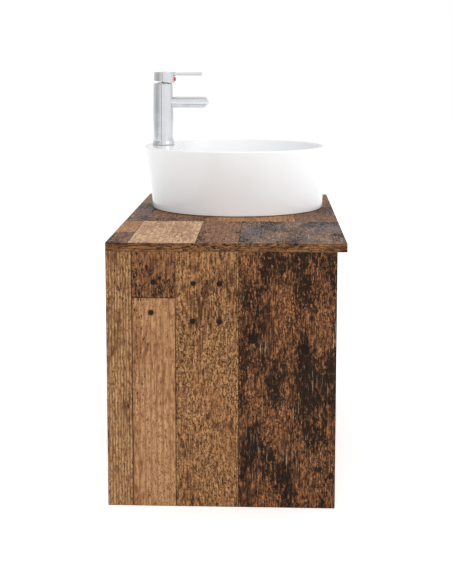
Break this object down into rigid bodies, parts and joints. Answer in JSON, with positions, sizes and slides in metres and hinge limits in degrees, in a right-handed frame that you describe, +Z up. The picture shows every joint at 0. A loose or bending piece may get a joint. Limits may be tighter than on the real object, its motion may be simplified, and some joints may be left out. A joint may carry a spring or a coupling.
{
  "type": "vessel sink on vanity",
  "caption": "Vanity cabinet with two drawers and a door, a round vessel basin on its worktop, a single-lever tap, a click waste and a bottle trap.",
  "frame": {"origin": "middle of the footprint on the underside of the cabinet", "axes": "+X along the width to the user's right, -Y towards the user, +Y to the wall, +Z up"},
  "size_m": [0.8, 0.46, 0.8394],
  "materials": {
    "reclaimed_wood_decor": "matt printed plank pattern",
    "grey_melamine_board": "satin melamine",
    "drawer_base_board": "satin foil",
    "beech": "raw",
    "zinc_steel": "zinc plated",
    "white_nylon": "matt",
    "grey_plastic": "matt",
    "white_glaze": "gloss glaze",
    "dark_silicone": "matt",
    "black_rubber": "matt",
    "polished_chrome": "polished",
    "brass": "machined",
    "red_plastic": "gloss",
    "white_plastic": "satin"
  },
  "bodies": {
    "cabinet": {"worktop": "reclaimed_wood_decor", "left_side_panel": "reclaimed_wood_decor", "right_side_panel": "reclaimed_wood_decor", "divider_panel": "reclaimed_wood_decor", "bottom_panel": "reclaimed_wood_decor", "hanging_rail": "grey_melamine_board", "lower_back_rail": "grey_melamine_board", "front_top_rail": "grey_melamine_board", "upper_cabinet_runners": "zinc_steel", "lower_cabinet_runners": "zinc_steel", "panel_dowels": "beech", "worktop_screws": "zinc_steel", "door_pivot_bushes": "white_nylon", "door_catch": "grey_plastic", "basin": "white_glaze", "basin_seal": "dark_silicone", "tap_base_gasket": "black_rubber", "tap_base_ring": "polished_chrome", "tap_body": "polished_chrome", "aerator_housing": "polished_chrome", "aerator_insert": "grey_plastic", "cartridge": "grey_plastic", "cartridge_nut": "brass", "mounting_stud": "zinc_steel", "horseshoe_washer": "zinc_steel", "stud_nut": "brass", "waste_body": "polished_chrome", "waste_gasket": "black_rubber", "waste_nut": "white_plastic", "trap_inlet_nut": "white_plastic", "trap_dip_tube": "white_plastic", "trap_body": "white_plastic", "trap_cup": "white_plastic", "trap_outlet_nut": "white_plastic", "trap_outlet_pipe": "white_plastic", "wall_rosette": "white_plastic"},
    "door": {"door": "reclaimed_wood_decor", "door_pivots": "zinc_steel", "door_strike": "zinc_steel"},
    "lever_carrier": {"cartridge_collar": "grey_plastic"},
    "lever": {"cartridge_stem": "brass", "lever_cap": "polished_chrome", "lever_rod": "polished_chrome", "lever_grub_screw": "zinc_steel", "temperature_marker": "red_plastic"},
    "plug": {"waste_plug": "polished_chrome"},
    "upper_drawer": {"upper_drawer_front": "reclaimed_wood_decor", "upper_drawer_sides": "grey_melamine_board", "upper_drawer_back": "grey_melamine_board", "upper_drawer_bottom": "drawer_base_board", "upper_drawer_runners": "zinc_steel"},
    "upper_front_rollers": {"upper_front_rollers": "white_nylon"},
    "upper_rear_rollers": {"upper_rear_rollers": "white_nylon"},
    "lower_drawer": {"lower_drawer_front": "reclaimed_wood_decor", "lower_drawer_sides": "grey_melamine_board", "lower_drawer_back": "grey_melamine_board", "lower_drawer_bottom": "drawer_base_board", "lower_drawer_runners": "zinc_steel"},
    "lower_front_rollers": {"lower_front_rollers": "white_nylon"},
    "lower_rear_rollers": {"lower_rear_rollers": "white_nylon"}
  },
  "joints": [
    {"name": "door_swing", "type": "hinge", "parent": "cabinet", "child": "door", "pos_m": [0.375, -0.2025, 0.26], "axis": [0, 0, 1], "range_deg": [0, 100]},
    {"name": "upper_drawer_slide", "type": "slide", "parent": "cabinet", "child": "upper_drawer", "axis": [0, -1, 0], "range_m": [0, 0.28]},
    {"name": "upper_front_roller_spin", "type": "hinge", "parent": "cabinet", "child": "upper_front_rollers", "pos_m": [-0.2325, -0.178, 0.2895], "axis": [1, 0, 0], "range_deg": [0, 1800]},
    {"name": "upper_rear_roller_spin", "type": "hinge", "parent": "upper_drawer", "child": "upper_rear_rollers", "pos_m": [-0.2325, 0.166, 0.2875], "axis": [1, 0, 0], "range_deg": [0, 1800]},
    {"name": "lower_drawer_slide", "type": "slide", "parent": "cabinet", "child": "lower_drawer", "axis": [0, -1, 0], "range_m": [0, 0.28]},
    {"name": "lower_front_roller_spin", "type": "hinge", "parent": "cabinet", "child": "lower_front_rollers", "pos_m": [-0.2325, -0.178, 0.046], "axis": [1, 0, 0], "range_deg": [0, 1800]},
    {"name": "lower_rear_roller_spin", "type": "hinge", "parent": "lower_drawer", "child": "lower_rear_rollers", "pos_m": [-0.2325, 0.166, 0.044], "axis": [1, 0, 0], "range_deg": [0, 1800]},
    {"name": "lever_swivel", "type": "hinge", "parent": "cabinet", "child": "lever_carrier", "pos_m": [0.16, 0.1714, 0.81], "axis": [0, 0, 1], "range_deg": [-45, 45]},
    {"name": "lever_lift", "type": "hinge", "parent": "lever_carrier", "child": "lever", "pos_m": [0.16, 0.1714, 0.812], "axis": [-1, 0, 0], "range_deg": [0, 12]},
    {"name": "plug_rise", "type": "slide", "parent": "cabinet", "child": "plug", "axis": [0, 0, 1], "range_m": [0, 0.009]}
  ],
  "couplings": [
    {"joint": "upper_front_roller_spin", "follows": "upper_drawer_slide", "rad_per_m": 111.11},
    {"joint": "upper_rear_roller_spin", "follows": "upper_drawer_slide", "rad_per_m": 111.11},
    {"joint": "lower_front_roller_spin", "follows": "lower_drawer_slide", "rad_per_m": 111.11},
    {"joint": "lower_rear_roller_spin", "follows": "lower_drawer_slide", "rad_per_m": 111.11}
  ]
}
